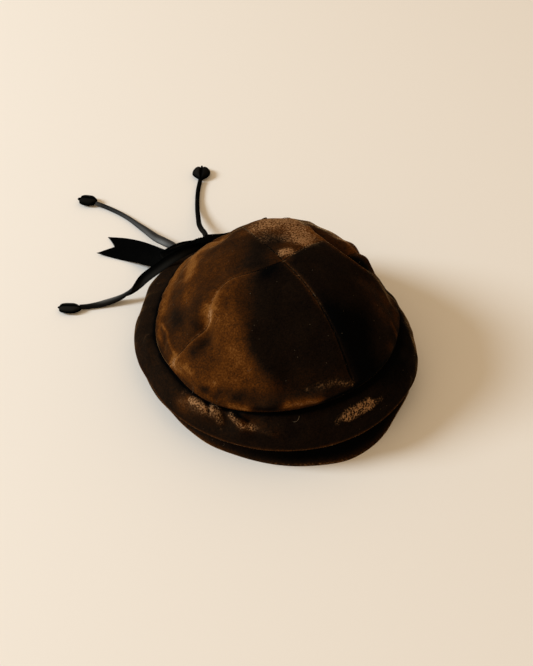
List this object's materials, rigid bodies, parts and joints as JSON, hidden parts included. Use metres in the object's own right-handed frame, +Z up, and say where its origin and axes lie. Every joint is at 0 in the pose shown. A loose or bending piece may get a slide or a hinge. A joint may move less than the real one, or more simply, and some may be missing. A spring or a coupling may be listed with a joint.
{
  "type": "tilt hat",
  "caption": "Soft brown velvet tilt hat: gored crown, rolled double brim, and a black ribbon bow behind with a swallowtail tail and bud-ended satin ties.",
  "frame": {"origin": "on the table, under the middle of the box that holds the hat, its bow and its wide tail, without the ties and buds", "axes": "+Z up from the table, -Y towards the wearer's front, so +X is the wearer's left"},
  "size_m": [0.2084, 0.3618, 0.0985],
  "materials": {
    "brown_velvet": "worn silk velvet, dark to golden brown by the lie of its nap",
    "black_velvet": "matte black velvet ribbon",
    "black_satin": "black satin ribbon with a soft gloss"
  },
  "bodies": {
    "root": {"crown_gore_front_left": "brown_velvet", "crown_gore_back_left": "brown_velvet", "crown_gore_back_right": "brown_velvet", "crown_gore_front_right": "brown_velvet", "upper_brim": "brown_velvet", "under_brim": "brown_velvet", "bow_knot": "black_velvet", "bow_loop_right": "black_velvet", "bow_loop_left": "black_velvet", "ribbon_tail": "black_velvet", "tie_right": "black_satin", "tie_middle": "black_satin", "tie_left": "black_satin", "bud_right": "black_velvet", "bud_middle": "black_velvet", "bud_left": "black_velvet"}
  },
  "joints": []
}
